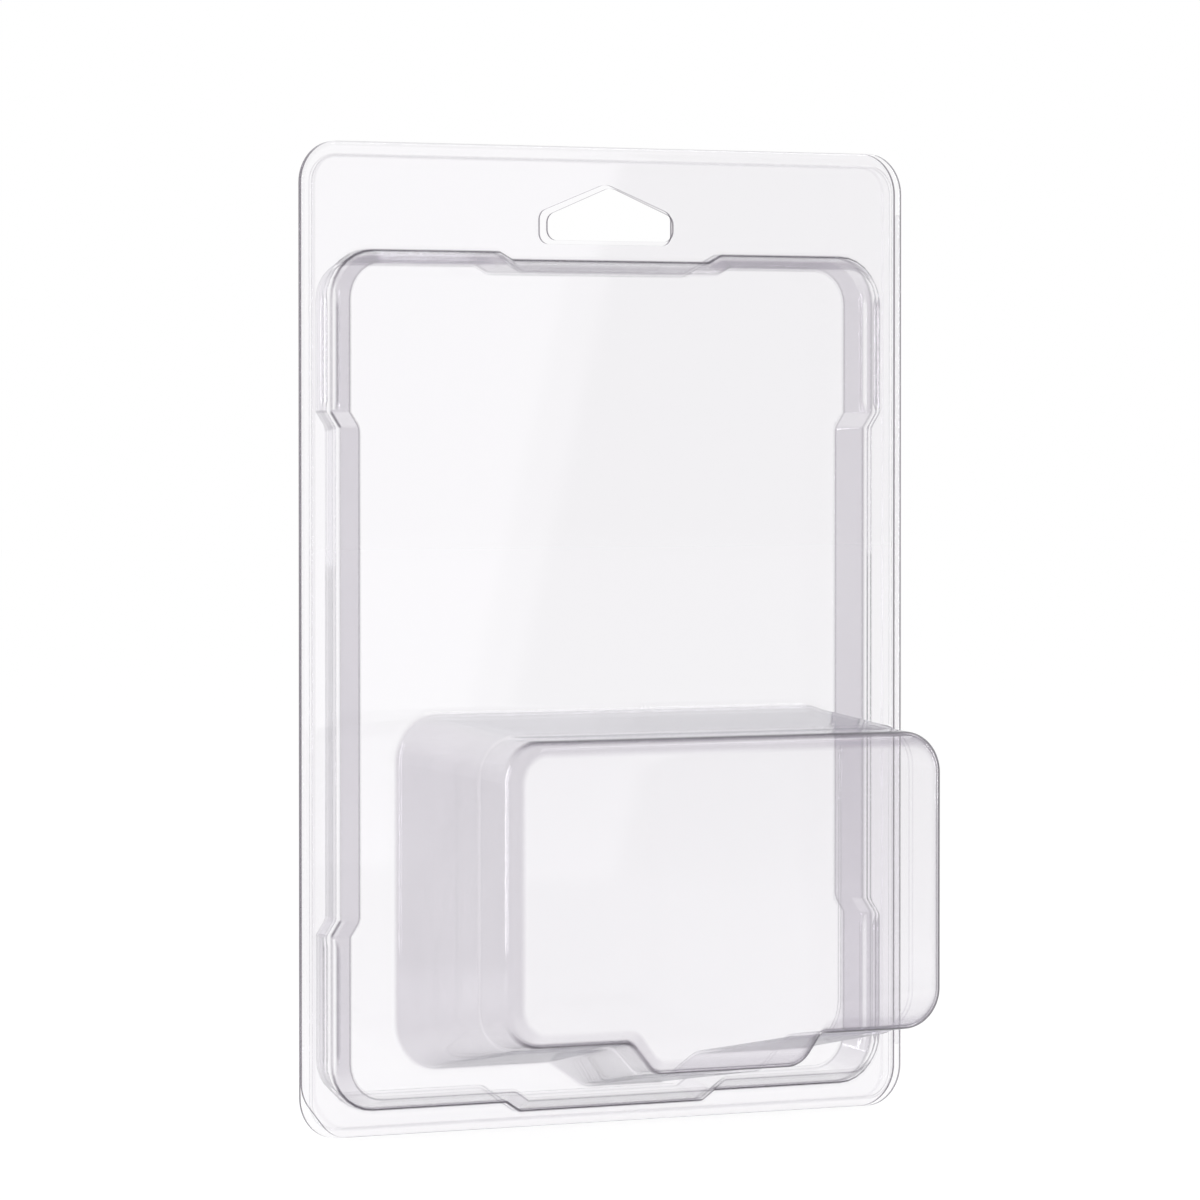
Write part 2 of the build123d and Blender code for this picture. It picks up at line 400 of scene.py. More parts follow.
@dataclass(frozen=True)
class CaseSizes:
    """Sizes of the case in millimetres, measured from the middle of its flange.

    The rim is the flange outside the joggle, and the bed is its level part inside. A wall's root is
    the bend at the bed, and its brow the bend at the tray's front. hole_peak is how far the hang
    hole's sharp apex stands over the rounded one. finger_inside, brow_share, inner_brow,
    groove_wide, groove_share and bead_tip are shares of what they belong to.
    """

    sheet: float = 0.5
    width: float = 141.0
    height: float = 190.0
    corner: float = 8.0
    rim: float = 2.3
    rim_low: float = 1.3
    finger_wide: float = 6.9
    finger_high: float = 8.2
    finger_round: float = 7.2
    finger_inside: float = 0.62
    joggle: float = 0.6
    joggle_run: float = 0.5
    joggle_round: float = 0.3
    bed_rim: float = 0.5
    bed_rim_low: float = 0.3
    hole_top: float = 87.0
    hole_height: float = 10.2
    hole_half: float = 14.8
    hole_side: float = 4.8
    hole_end: float = 2.1
    hole_apex: float = 4.0
    hole_peak: float = 4.0 / 14.0
    hole_spare: float = 0.7
    tray_half: float = 64.5
    tray_top: float = 74.4
    tray_low: float = -90.0
    tray_corner: float = 9.5
    jog: float = 2.1
    jog_top: float = 1.5
    jog_low: float = 1.9
    jog_run: float = 3.0
    jog_out: float = 1.8
    jog_in: float = 0.7
    jog_least: float = 0.3
    jog_upper: float = 43.5
    jog_lower: float = -56.5
    step_top: float = 23.0
    step_low: float = 21.5
    lean: float = 2.2
    tray_depth: float = 4.7
    pan_depth: float = 7.8
    brow: float = 0.8
    brow_share: float = 0.6
    brow_spare: float = 0.05
    inner_brow: float = 0.9
    root: float = 0.45
    root_bed: float = 0.9
    groove: float = 0.55
    groove_wide: float = 1.25
    groove_fade: float = 0.8
    groove_side: float = 0.6
    groove_share: float = 0.30
    groove_end: float = 9.0
    groove_jog: float = 1.2
    bead: float = 0.55
    bead_inset: float = 12.0
    bead_tip: float = 0.4
    bead_ease: float = 0.25
    hinge_gap: float = 0.1


@dataclass(frozen=True)
class BlisterSizes:
    """Sizes of the blister box in millimetres."""

    depth: float = 43.0
    half: float = 52.0
    top: float = -14.4
    low: float = -82.3
    corner: float = 9.0
    corner_loss: float = 1.0
    side_lean: float = 1.7
    top_lean: float = 4.2
    low_lean: float = 6.5
    ledge_share: float = 0.70
    ledge: float = 0.5
    ledge_rise: float = 0.15
    ledge_round: float = 0.12
    belly_flat: float = 9.0
    belly_half: float = 17.0
    belly_drop: float = 5.1
    belly_spread: float = 5.0
    flat_spread: float = 8.0
    belly_gain: float = 1.1
    belly_round: float = 4.0
    front_edge: float = 3.2
    front_inset: float = 4.6
    foot: float = 1.4
    foot_spare: float = 0.02


@dataclass(frozen=True)
class BlisterTones:
    """Painted shade and painted dark creases on the blister.

    The shade is for right, left, upper and lower wall. The veil is painted shade on the front.
    A line's place and width are shares of the way round the front edge.
    """

    # Painted shade for right, left, upper and lower wall, less on the bulge.
    grey: FOUR_SIDES = (0.0, 0.95, 0.22, 0.45)
    belly_loss: float = 0.85
    # Painted shade on the front, a little greyer to the left, darker at its edge, lighter on the
    # right and below, and on the ledge.
    haze_and_shade: float = 0.14
    front_shade_slope: float = -0.03
    front_shade_edge: float = 0.9
    front_shade_right_loss: float = 0.85
    front_shade_low_loss: float = 0.5
    front_shade_fade: tuple[float, float] = (0.7, 1.0)
    ledge_shade: float = 0.8
    # Painted dark creases along the front edge, on the right and above and below, with their
    # places.
    crease_right: float = 3.2
    crease_level: tuple[float, float] = (3.0, 4.0)
    line_right: tuple[float, float] = (0.38, 0.32)
    line_level: tuple[float, float] = (0.12, 0.20)
    # Painted shade at the blister's folds.
    fold_shade: float = 0.3
    inside: float = 0.2


@dataclass(frozen=True)
class WallTones:
    """Painted shade and dark lines on a tray's walls, as shares for right, left, upper and lower
    wall.

    A line's place and width are distances in millimetres from the start of the root or brow.
    """

    # Painted shade on each side's walls, and depth of the painted dark lines at root and brow.
    grey: FOUR_SIDES
    root: FOUR_SIDES
    brow: FOUR_SIDES
    # A clear stripe under the upper wall's root stands as a painted highlight.
    clear_run: float
    # Painted shade in the grooves' hollows.
    groove: float
    clear_ease: float = 0.4
    # Less painted shade on the middle stretch of the upper wall.
    middle: float = 0.55
    middle_ease: tuple[float, float] = (-1.0, 4.0)
    root_line: tuple[float, float] = (0.45, 0.24)
    brow_line: tuple[float, float] = (0.4, 0.16)
    groove_power: int = 12
    fold_shade: float = 0.3
    inside: float = 0.25
    # Painted fold shade and painted wall shade on the rim's joggle and on the hinge bead.
    rim_fold: float = 0.22
    rim_grey: float = 0.2
    bead_fold: float = 0.08


@dataclass
class ClearHalf:
    """One half of the case: flange with joggle and hang hole, and a jogged tray or pan."""

    side: Side
    name: str
    node: str
    body: str
    depth: float
    hole_grow: float
    reach: float
    finger: bool
    tones: WallTones
    sizes: CaseSizes = field(default_factory=CaseSizes)
    arc_steps: int = 8
    corner_steps: int = 16
    edge_steps: int = 12
    hole_steps: tuple[int, int] = (10, 4)
    joggle_steps: int = 5
    fine_steps: int = 9
    wall_steps: int = 22

    def lift(self, loop: np.ndarray, level: float) -> np.ndarray:
        """Outline (n, 2) set at a level from the parting plane, in the row's frame, (n, 3)."""
        y = np.full(len(loop), self.side.value * level)
        return np.stack([loop[:, 0], y, loop[:, 1] - self.sizes.hole_top], 1)

    def flange_loop(self, inset: float, low: float) -> np.ndarray:
        """Rounded outline of the flange, with the finger corner cut back where the half has it.

        Args:
            inset: How far the sides and top are taken in.
            low: How far the lower edge is taken in.

        Returns:
            Outline points.
        """
        s = self.sizes
        left, right = -s.width / 2 + inset, self.reach - inset
        top, foot = s.height / 2 - inset, -s.height / 2 + low
        radius = s.corner - inset
        low_corner, low_radii = [(left, foot)], [radius]
        if self.finger:
            spread = 1.0 if inset == 0.0 else s.finger_inside
            wide, high = s.finger_wide * spread, s.finger_high * spread
            low_corner = [(left + wide, foot), (left, foot + high)]
            low_radii = [s.finger_round] * 2
        points = [(right, top), (right, foot), *low_corner, (left, top)]
        radii = [radius, radius, *low_radii, radius]
        return rounded_loop(np.array(points), np.array(radii), self.corner_steps, self.edge_steps)

    def tray_loop(self, inset: float) -> np.ndarray:
        """Jogged outline of the tray, taken in from its root.

        Args:
            inset: How far the outline is taken in on every side.

        Returns:
            Outline points.
        """
        s = self.sizes
        half, top, low = s.tray_half - inset, s.tray_top - inset, s.tray_low + inset
        right = np.array([
            (s.step_top, top - s.jog_top), (s.step_top + s.jog_run, top), (half, top),
            (half, s.jog_upper), (half - s.jog, s.jog_upper - s.jog_run),
            (half - s.jog, s.jog_lower + s.jog_run), (half, s.jog_lower), (half, low),
            (s.step_low + s.jog_run, low), (s.step_low, low - s.jog_low)])
        corner = s.tray_corner - inset
        out, hollow = max(s.jog_out - inset, s.jog_least), s.jog_in + max(inset, 0.0)
        radii = np.array([hollow, out, corner, out, hollow, hollow, out, corner, hollow, out])
        points = np.concatenate([right, right[::-1] * np.array([-1.0, 1.0])])
        radii = np.concatenate([radii, radii[::-1]])
        return rounded_loop(points, radii, self.arc_steps, self.edge_steps)[::-1]

    def hole_loop(self) -> np.ndarray:
        """Outline of the hang hole: flat bottom, upright sides, sloped roof with a rounded apex.

        Returns:
            Outline points.
        """
        s, g = self.sizes, self.hole_grow
        half, low = s.hole_half + g, s.hole_top - s.hole_height - g
        side, roof = low + s.hole_side + 2 * g, s.hole_top + g + s.hole_peak
        points = np.array([(-half, low), (half, low), (half, side), (0.0, roof), (-half, side)])
        radii = np.array([s.hole_end] * 3 + [s.hole_apex] + [s.hole_end])
        return rounded_loop(points, radii, *self.hole_steps)

    def press_grooves(self, loops: np.ndarray, flat: float,
                      face: float) -> tuple[np.ndarray, np.ndarray]:
        """Press the snap grooves into the side walls of the corner sections.

        A point sinks along the wall's normal by g * sqrt(1 - (d / w)^2), where g is the groove's
        depth, w its half width and d the distance from its line, faded out at the groove's ends.

        Args:
            loops: Wall loops, (m, n, 3).
            flat: Level of the wall's root.
            face: Level of the wall's front.

        Returns:
            The loops with the grooves, and how far each point sank as a share of the groove.
        """
        s = self.sizes
        wall = np.hypot(face - flat, s.lean)
        share = (np.abs(loops[..., 1]) - flat) / (face - flat)
        across = (share - s.groove_share) * wall / (s.groove * s.groove_wide)
        hollow = s.groove * np.sqrt(np.clip(1.0 - across ** 2, 0.0, 1.0))
        z = loops[..., 2] + s.hole_top
        ends = (s.tray_low + s.groove_end, s.jog_lower - s.groove_jog,
                s.jog_upper + s.groove_jog, s.tray_top - s.groove_end)
        above = [smooth_step(end - s.groove_fade, end + s.groove_fade, z) for end in ends]
        lower, upper = above[0] * (1.0 - above[1]), above[2] * (1.0 - above[3])
        beside = np.abs(loops[..., 0]) > s.tray_half - s.lean - s.sheet - s.groove_side
        sink = hollow * (upper + lower) * beside
        normal_x, normal_y = (face - flat) / wall, s.lean / wall
        moved = loops.copy()
        moved[..., 0] -= np.sign(loops[..., 0]) * normal_x * sink
        moved[..., 1] -= self.side.value * normal_y * sink
        return moved, sink / s.groove

    def wall_tones(self, loops: np.ndarray, spans: list[slice]) -> tuple[np.ndarray, np.ndarray]:
        """Painted shade and painted dark lines over the tray's walls.

        Each side has its own painted shade. The upper wall starts clear under its root, a painted
        highlight, and its middle stretch has less shade. Soft painted dark lines follow the root
        and the brow, and stay off the level faces.

        Args:
            loops: Wall loops, (m, n, 3).
            spans: Rows of the root and of the brow.

        Returns:
            Painted shade and line depth, both (m, n).
        """
        s, t = self.sizes, self.tones
        sides = compass(loops)
        run = travel(loops, spans[0].start)
        brow = travel(loops, spans[1].start)
        grey = np.tensordot(t.grey, sides, 1)
        # Painted highlight: the upper wall stays clear just under its root.
        upper = smooth_step(t.clear_run - t.clear_ease, t.clear_run + t.clear_ease, run)
        start, end = (s.step_top + ease for ease in t.middle_ease)
        mid = 1.0 - smooth_step(start, end, np.abs(loops[..., 0]))
        grey = grey * (1.0 + sides[2] * ((1.0 - t.middle * mid) * upper - 1.0))
        line = (np.tensordot(t.root, sides, 1) * stroke(run, *t.root_line)
                + np.tensordot(t.brow, sides, 1) * stroke(brow, *t.brow_line))
        line[[0, -1]] = 0.0
        return grey, line

    def skin(self, mesh: SheetMesh, skin: float) -> dict[str, np.ndarray]:
        """One face of the sheet, from the rim to the tray's level front.

        Args:
            mesh: Takes the surfaces.
            skin: Zero for the outside of the form, the sheet's thickness for its inside.

        Returns:
            Numbers of the rim, the hole and the tray's last loop.
        """
        s, t = self.sizes, self.tones
        rim, flat, face = s.sheet - skin, s.sheet - skin + s.joggle, self.depth - skin
        step, step_low = s.rim + skin / 2, s.rim_low + skin / 2
        bed, bed_low = step + s.joggle_run, step_low + s.joggle_run
        profile = ((0.0, 0.0, rim), (step, step_low, rim), (bed, bed_low, flat),
                   (bed + s.bed_rim, bed_low + s.bed_rim_low, flat))
        stations = np.stack([self.lift(self.flange_loop(*form), at) for *form, at in profile])
        loops, _ = rounded_profile(stations, [s.joggle_round] * 2, self.joggle_steps, [1, 1, 0])
        # Painted fold shade and painted wall shade on the rim's joggle.
        band = mesh.add(loops, fold_shade=t.rim_fold, grey=t.rim_grey)
        mesh.ruled(band)
        brow = s.brow - skin * s.inner_brow
        margin = brow * s.brow_share + s.brow_spare
        profile = ((skin - s.root_bed, flat), (skin, flat), (skin + s.lean, face),
                   (skin + s.lean + margin, face))
        stations = np.stack([self.lift(self.tray_loop(inset), at) for inset, at in profile])
        fills = [0, self.wall_steps, 0]
        loops, spans = rounded_profile(stations, [s.root + skin, brow], self.fine_steps, fills)
        grey, line = self.wall_tones(loops, spans)
        loops, sunk = self.press_grooves(loops, flat, face)
        near = 1.0 if skin == 0.0 else t.inside
        # Painted dark lines at root and brow, and painted shade in the grooves' hollows, weaker on
        # the inner face.
        line = near * (line + t.groove * sunk ** t.groove_power)
        wall = mesh.add(loops, fold_shade=t.fold_shade, grey=grey, line=line)
        mesh.ruled(wall)
        hole = mesh.add(self.lift(self.hole_loop(), flat)[None])[0]
        mesh.fill(band[-1], [wall[0], hole])
        return {"rim": band[0], "hole": hole, "tray": wall[-1]}

    def close_tray(self, mesh: SheetMesh, tray: np.ndarray, skin: float) -> None:
        """Level floor of a plain pan."""
        mesh.fill(tray, [])

    def extras(self, mesh: SheetMesh) -> None:
        """Nothing more on a plain half."""

    def build(self) -> bpy.types.Object:
        """Both faces of the sheet and its cut edges, as one closed piece.

        Returns:
            The linked object.
        """
        mesh = SheetMesh()
        outer = self.skin(mesh, 0.0)
        inner = self.skin(mesh, self.sizes.sheet)
        mesh.edge(outer["rim"], inner["rim"])
        mesh.edge(outer["hole"], inner["hole"])
        self.close_tray(mesh, outer["tray"], 0.0)
        self.close_tray(mesh, inner["tray"], self.sizes.sheet)
        self.extras(mesh)
        return mesh.build(self.name)


@dataclass
class FrontHalf(ClearHalf):
    """Front half: the tray carries the blister box, and the right edge the folded hinge."""

    blister: BlisterSizes = field(default_factory=BlisterSizes)
    looks: BlisterTones = field(default_factory=BlisterTones)
    blister_steps: int = 14
    edge_rows: int = 11
    base_rows: int = 6
    front_rows: int = 4
    tube_steps: int = 24
    tube_rows: int = 9

    def blister_loop(self, share: float, inset: float) -> np.ndarray:
        """Outline of the blister with its lower bulge.

        Args:
            share: Share of the way from the base to the front.
            inset: How far the outline is taken in.

        Returns:
            Outline points.
        """
        b = self.blister
        half, top = b.half - b.side_lean * share - inset, b.top - b.top_lean * share - inset
        low = b.low + b.low_lean * share + inset
        wide, flat = b.belly_half + b.belly_spread * share, b.belly_flat + b.flat_spread * share
        drop = b.belly_drop + b.belly_gain * share
        right = np.array([(half, top), (half, low), (wide, low), (flat, low - drop)])
        corner = b.corner - b.corner_loss * share - inset
        radii = np.array([corner, corner, b.belly_round, b.belly_round])
        points = np.concatenate([right, right[::-1] * np.array([-1.0, 1.0])])
        radii = np.concatenate([radii, radii[::-1]])
        return rounded_loop(points, radii, self.blister_steps, self.edge_steps)[::-1]

    def blister_tones(self, loops: np.ndarray,
                      spans: list[slice]) -> tuple[np.ndarray, np.ndarray, np.ndarray]:
        """Painted shade, veil and creases over the blister.

        Each side has its own painted shade, less on the bulge. The front is veiled in painted
        shade, its edge more so. Soft painted dark creases follow the front edge on the right, above
        and below.

        Args:
            loops: Blister loops, (m, n, 3).
            spans: Rows of the foot, of the ledge's two bends and of the front edge.

        Returns:
            Painted wall shade, veil and crease, each (m, n).
        """
        b, t = self.blister, self.looks
        ledge = slice(spans[1].start - 1, spans[2].stop + 1)
        bend, front = spans[3], slice(spans[3].stop - 1, None)
        sides = compass(loops)
        # Painted shade for each side, less on the bulge.
        grey = np.tensordot(t.grey, sides, 1)
        across = np.abs(loops[..., 0])
        belly = 1.0 - smooth_step(b.belly_half, b.belly_half + b.belly_spread, across)
        grey *= 1.0 - t.belly_loss * belly * sides[3]
        share = np.linspace(0.0, 1.0, self.edge_rows)[:, None]
        right, low = sides[0, bend], sides[3, bend]
        level = np.tensordot(t.crease_level, sides[2:, bend], 1)
        # Painted dark creases along the front edge.
        crease = np.zeros(loops.shape[:2])
        crease[bend] = (t.crease_right * right * stroke(share, *t.line_right)
                        + level * stroke(share, *t.line_level))
        # Painted shade on the front, more on its edge and on the ledge.
        haze_and_shade = np.zeros(loops.shape[:2])
        plain = t.haze_and_shade + t.front_shade_slope * loops[front, :, 0] / b.half
        haze_and_shade[front] = plain
        edge = t.front_shade_edge * (1.0 - t.front_shade_right_loss * right - t.front_shade_low_loss * low)
        haze_and_shade[bend] = edge + (plain[0] - edge) * smooth_step(*t.front_shade_fade, share)
        haze_and_shade[ledge] = t.ledge_shade * grey[ledge]
        return grey, haze_and_shade, crease

    def close_tray(self, mesh: SheetMesh, tray: np.ndarray, skin: float) -> None:
        """Blister box on the tray's level front.

        Args:
            mesh: Takes the surfaces.
            tray: Numbers of the tray's last loop.
            skin: Zero for the outside of the form, the sheet's thickness for its inside.
        """
        b, t = self.blister, self.looks
        face, front = self.depth - skin, b.depth - skin
        step = face + (front - face) * b.ledge_share
        margin = b.foot + skin + b.foot_spare
        profile = ((0.0, skin - margin, face), (0.0, skin, face), (b.ledge_share, skin, step),
                   (b.ledge_share, skin + b.ledge, step + b.ledge_rise), (1.0, skin, front),
                   (1.0, skin + b.front_inset, front))
        stations = np.stack([self.lift(self.blister_loop(*form), at) for *form, at in profile])
        radii = [b.foot + skin, b.ledge_round, b.ledge_round, b.front_edge - skin]
        fills = [0, self.base_rows, 0, self.front_rows, 0]
        loops, spans = rounded_profile(stations, radii, self.edge_rows, fills)
        grey, haze_and_shade, crease = self.blister_tones(loops, spans)
        # Painted creases are weaker on the inner face; the box carries painted shade on walls and
        # front.
        near = 1.0 if skin == 0.0 else t.inside
        box = mesh.add(loops, near * crease, fold_shade=t.fold_shade, grey=grey, haze_and_shade=haze_and_shade)
        mesh.ruled(box)
        mesh.fill(tray, [box[0]])
        mesh.fill(box[-1], [])

    def extras(self, mesh: SheetMesh) -> None:
        """Folded bead along the hinge: a tube about the axis, drawn in and capped at its ends.

        Args:
            mesh: Takes the surfaces.
        """
        s, t = self.sizes, self.tones
        turn = np.linspace(0.0, 2.0 * np.pi, self.tube_steps, endpoint=False)
        height = np.linspace(-1.0, 1.0, self.tube_rows) * (s.height / 2 - s.bead_inset)
        radius = np.full(self.tube_rows, s.bead)
        radius[[0, -1]] = s.bead * s.bead_tip
        height[[1, -2]] = height[[0, -1]] + np.array([s.bead_ease, -s.bead_ease])
        x = s.width / 2 - s.bead + radius[:, None] * np.cos(turn)
        y = radius[:, None] * np.sin(turn)
        z = np.broadcast_to(height[:, None] - s.hole_top, x.shape)
        # Painted fold shade and painted wall shade on the hinge bead.
        tube = mesh.add(np.stack([x, y, z], -1), fold_shade=t.bead_fold, grey=t.rim_grey)
        mesh.ruled(tube)
        mesh.cap(tube[0])
        mesh.cap(tube[-1])


def neutral(level: float) -> COLOUR:
    """Grey of one level."""
    return (level, level, level, 1.0)


@dataclass(frozen=True)
class Shade:
    """Small helper that lays shader nodes into one tree."""

    tree: bpy.types.NodeTree

    def feed(self, sockets: Iterable[bpy.types.NodeSocket], values: Iterable[object]) -> None:
        """Link output sockets to inputs in order, or set the inputs to plain values.

        Args:
            sockets: The inputs.
            values: Output sockets or plain values.
        """
        for socket, value in zip(sockets, values):
            if isinstance(value, bpy.types.NodeSocket):
                self.tree.links.new(value, socket)
            else:
                socket.default_value = value

    def node(self, kind: str, **sockets: object) -> bpy.types.Node:
        """Add a node and set or link its inputs by name.

        Args:
            kind: Type of the node, without its ShaderNode prefix.
            sockets: Values or output sockets for the inputs, spaces written as underscores.

        Returns:
            The new node.
        """
        node = self.tree.nodes.new("ShaderNode" + kind)
        names = (name.replace("_", " ") for name in sockets)
        self.feed((node.inputs[name] for name in names), sockets.values())
        return node

    def math(self, operation: str, *values: object, clamp: bool = False) -> bpy.types.NodeSocket:
        """Add a math node.

        Args:
            operation: Name of the sum.
            values: Values or output sockets, in the node's order.
            clamp: Whether the result is held between 0 and 1.

        Returns:
            The result.
        """
        node = self.node("Math")
        node.operation = operation
        node.use_clamp = clamp
        self.feed(node.inputs, values)
        return node.outputs[0]

    def layer(self, name: str) -> bpy.types.NodeSocket:
        """Read one of the mesh's own attributes.

        Args:
            name: Name of the attribute.

        Returns:
            Its value.
        """
        node = self.node("Attribute")
        node.attribute_name = name
        return node.outputs["Fac"]

    def ramp(self, value: bpy.types.NodeSocket,
             stops: tuple[tuple[float, float], ...]) -> bpy.types.NodeSocket:
        """Add a grey ramp.

        Args:
            value: Place on the ramp.
            stops: Pairs of place and level, in order from place 0 to place 1 or less.

        Returns:
            The ramp's colour.
        """
        node = self.node("ValToRGB")
        band = node.color_ramp
        band.elements[0].position = stops[0][0]
        band.elements[1].position = stops[-1][0]
        for place, _ in stops[1:-1]:
            band.elements.new(place)
        for element, (_, level) in zip(band.elements, stops):
            element.color = neutral(level)
        self.feed(node.inputs, [value])
        return node.outputs[0]

    def mix_colour(self, share: object, a: object, b: object,
                   blend: str = "MIX") -> bpy.types.NodeSocket:
        """Mix two colours, or multiply them, by a share.

        Args:
            share: Share of the second colour.
            a: First colour.
            b: Second colour.
            blend: Way of mixing.

        Returns:
            The mixed colour.
        """
        node = self.node("Mix")
        node.data_type = "RGBA"
        node.blend_type = blend
        factor, first, second = node.inputs[0], node.inputs[6], node.inputs[7]
        self.feed((factor, first, second), (share, a, b))
        return node.outputs[2]

    def mix_shader(self, share: object, a: bpy.types.Node, b: bpy.types.Node) -> bpy.types.Node:
        """Mix two shaders by a share.

        Args:
            share: Share of the second shader.
            a: First shader.
            b: Second shader.

        Returns:
            The mixing node.
        """
        node = self.node("MixShader")
        self.feed(node.inputs, (share, a.outputs[0], b.outputs[0]))
        return node

    def finish(self, kind: str, look: bpy.types.Node) -> None:
        """Join the last node to a new output node of a kind."""
        self.node(kind, Surface=look.outputs[0])


@dataclass(frozen=True)
class ClearSheet:
    """Clear formed plastic with a faint lilac tint, grey cut edges, and painted shade on walls and
    folds.
    """

    flat: COLOUR = (0.991, 0.988, 0.993, 1.0)
    # Painted shade on sloping walls.
    wall_shade: COLOUR = (0.850, 0.838, 0.858, 1.0)
    # Painted shade at folds seen near edge-on.
    fold_shade: COLOUR = (0.46, 0.44, 0.47, 1.0)
    cut: COLOUR = (0.30, 0.28, 0.31, 1.0)
    # Painted shade along the dark lines at roots, brows and grooves.
    line: COLOUR = (0.16, 0.15, 0.17, 1.0)
    shine: COLOUR = (0.98, 0.98, 1.0, 1.0)
    haze: COLOUR = (0.86, 0.85, 0.88, 1.0)
    haze_share: float = 0.03
    gloss: float = 0.035
    mirror: float = 0.028
    mirror_power: float = 5.0
    wave: float = 0.008
    wave_depth: float = 0.002
    wave_scale: float = 28.0
    cloud_scale: float = 35.0
    cloud_gain: float = 0.30
    cloud_base: float = 0.85
    # Painted shade by how far the surface turns from the view: folds darken only near edge-on, and
    # the clear colour darkens towards grazing.
    fold_stops: tuple[tuple[float, float], ...] = ((0.45, 0.05), (0.78, 1.0))
    graze_shade_stops: tuple[tuple[float, float], ...] = (
        (0.0, 1.0), (0.6, 0.99), (0.84, 0.95), (0.95, 0.68), (1.0, 0.10))

    def tint(self, shade: Shade, facing: bpy.types.NodeSocket,
             wall_shade: bpy.types.NodeSocket) -> bpy.types.NodeSocket:
        """Colour of passing light: the product of each layer's colour to the power of its depth.
        The layers are painted shade on walls, folds, lines and grazing views, and the grey of cut
        edges.

        Args:
            shade: Lays the nodes.
            facing: How far the surface is turned away.
            wall_shade: Painted shade on the sloping walls.

        Returns:
            The colour.
        """
        # Painted shade at folds, where they are seen near edge-on.
        fold_shade_depth = shade.math("MULTIPLY", shade.layer("bend"), shade.ramp(facing, self.fold_stops))
        # Clear colour with painted shade towards grazing views.
        colour = shade.mix_colour(1.0, shade.ramp(facing, self.graze_shade_stops), self.flat, "MULTIPLY")
        # Layers of painted shade on walls, folds and lines, and the grey of cut edges.
        layers = ((wall_shade, self.wall_shade), (fold_shade_depth, self.fold_shade), (shade.layer("cut"), self.cut),
                  (shade.layer("line"), self.line))
        for depth, stain in layers:
            layer = shade.node("Gamma", Color=stain, Gamma=depth)
            colour = shade.mix_colour(1.0, colour, layer.outputs[0], "MULTIPLY")
        return colour

    def material(self) -> bpy.types.Material:
        """Clear with painted shade in its tint, a mirror that grows as the surface turns away, and
        a haze.

        Returns:
            The material.
        """
        stuff = bpy.data.materials.new("clear_sheet")
        stuff.use_nodes = True
        stuff.node_tree.nodes.clear()
        shade = Shade(stuff.node_tree)
        place = shade.node("TexCoord").outputs["Object"]
        facing = shade.node("LayerWeight", Blend=0.5).outputs["Facing"]
        cloud = shade.node("TexNoise", Vector=place, Scale=self.cloud_scale, Detail=3.0)
        uneven = shade.math("MULTIPLY_ADD", cloud.outputs["Fac"], self.cloud_gain, self.cloud_base)
        # Painted wall shade, made uneven by noise.
        wall_shade = shade.math("MULTIPLY", shade.layer("painted_wall_shade"), uneven)
        clear = shade.node("BsdfTransparent", Color=self.tint(shade, facing, wall_shade))
        ripple = shade.node("TexNoise", Vector=place, Scale=self.wave_scale, Detail=1.0)
        bump = shade.node("Bump", Strength=self.wave, Distance=self.wave_depth,
                          Height=ripple.outputs["Fac"])
        gloss = shade.node("BsdfGlossy", Color=self.shine, Roughness=self.gloss,
                           Normal=bump.outputs[0])
        steep = shade.math("POWER", facing, self.mirror_power)
        mirror = shade.math("MULTIPLY_ADD", steep, 1.0 - self.mirror, self.mirror)
        look = shade.mix_shader(mirror, clear, gloss)
        milky = shade.node("BsdfDiffuse", Color=self.haze)
        thick = shade.math("MAXIMUM", wall_shade, shade.layer("cut"))
        # Haze share, laid where the painted wall shade and the cut edges are.
        haze_and_shade = shade.math("MULTIPLY", thick, self.haze_share, clamp=True)
        shade.finish("OutputMaterial", shade.mix_shader(haze_and_shade, look, milky))
        return stuff


@dataclass(frozen=True)
class PaleFloor:
    """White sweep that keeps a faint shadow of the case."""

    size: float = 6.0
    drop: float = 0.1824
    white: float = 0.88
    shadow: float = 0.15
    plain: float = 0.65

    def material(self) -> bpy.types.Material:
        """White that is part lamp, part lit paint where it is seen, and plain paint in reflections.

        Returns:
            The material.
        """
        stuff = bpy.data.materials.new("floor_white")
        stuff.use_nodes = True
        tree = stuff.node_tree
        tree.nodes.clear()
        shade = Shade(tree)
        glow = shade.node("Emission", Color=neutral(1.0), Strength=self.white)
        paint = shade.node("BsdfDiffuse", Color=neutral(self.shadow))
        both = shade.node("AddShader")
        shade.feed(both.inputs, (glow.outputs[0], paint.outputs[0]))
        plain = shade.node("BsdfDiffuse", Color=neutral(self.plain))
        path = shade.node("LightPath").outputs
        seen = shade.math("MAXIMUM", path["Is Camera Ray"], path["Is Transmission Ray"])
        shade.finish("OutputMaterial", shade.mix_shader(seen, plain, both))
        return stuff

    def build(self) -> bpy.types.Object:
        """Level square under the case.

        Returns:
            The floor.
        """
        side = np.array([-self.size, self.size])
        x, y = np.meshgrid(side, side)
        points = np.stack([x, y, np.full_like(x, -self.drop)], -1).reshape(-1, 3)
        mesh = bpy.data.meshes.new("floor")
        mesh.from_pydata(points.tolist(), [], [(0, 1, 3, 2)])
        mesh.materials.append(self.material())
        floor = bpy.data.objects.new("floor", mesh)
        bpy.context.collection.objects.link(floor)
        return floor


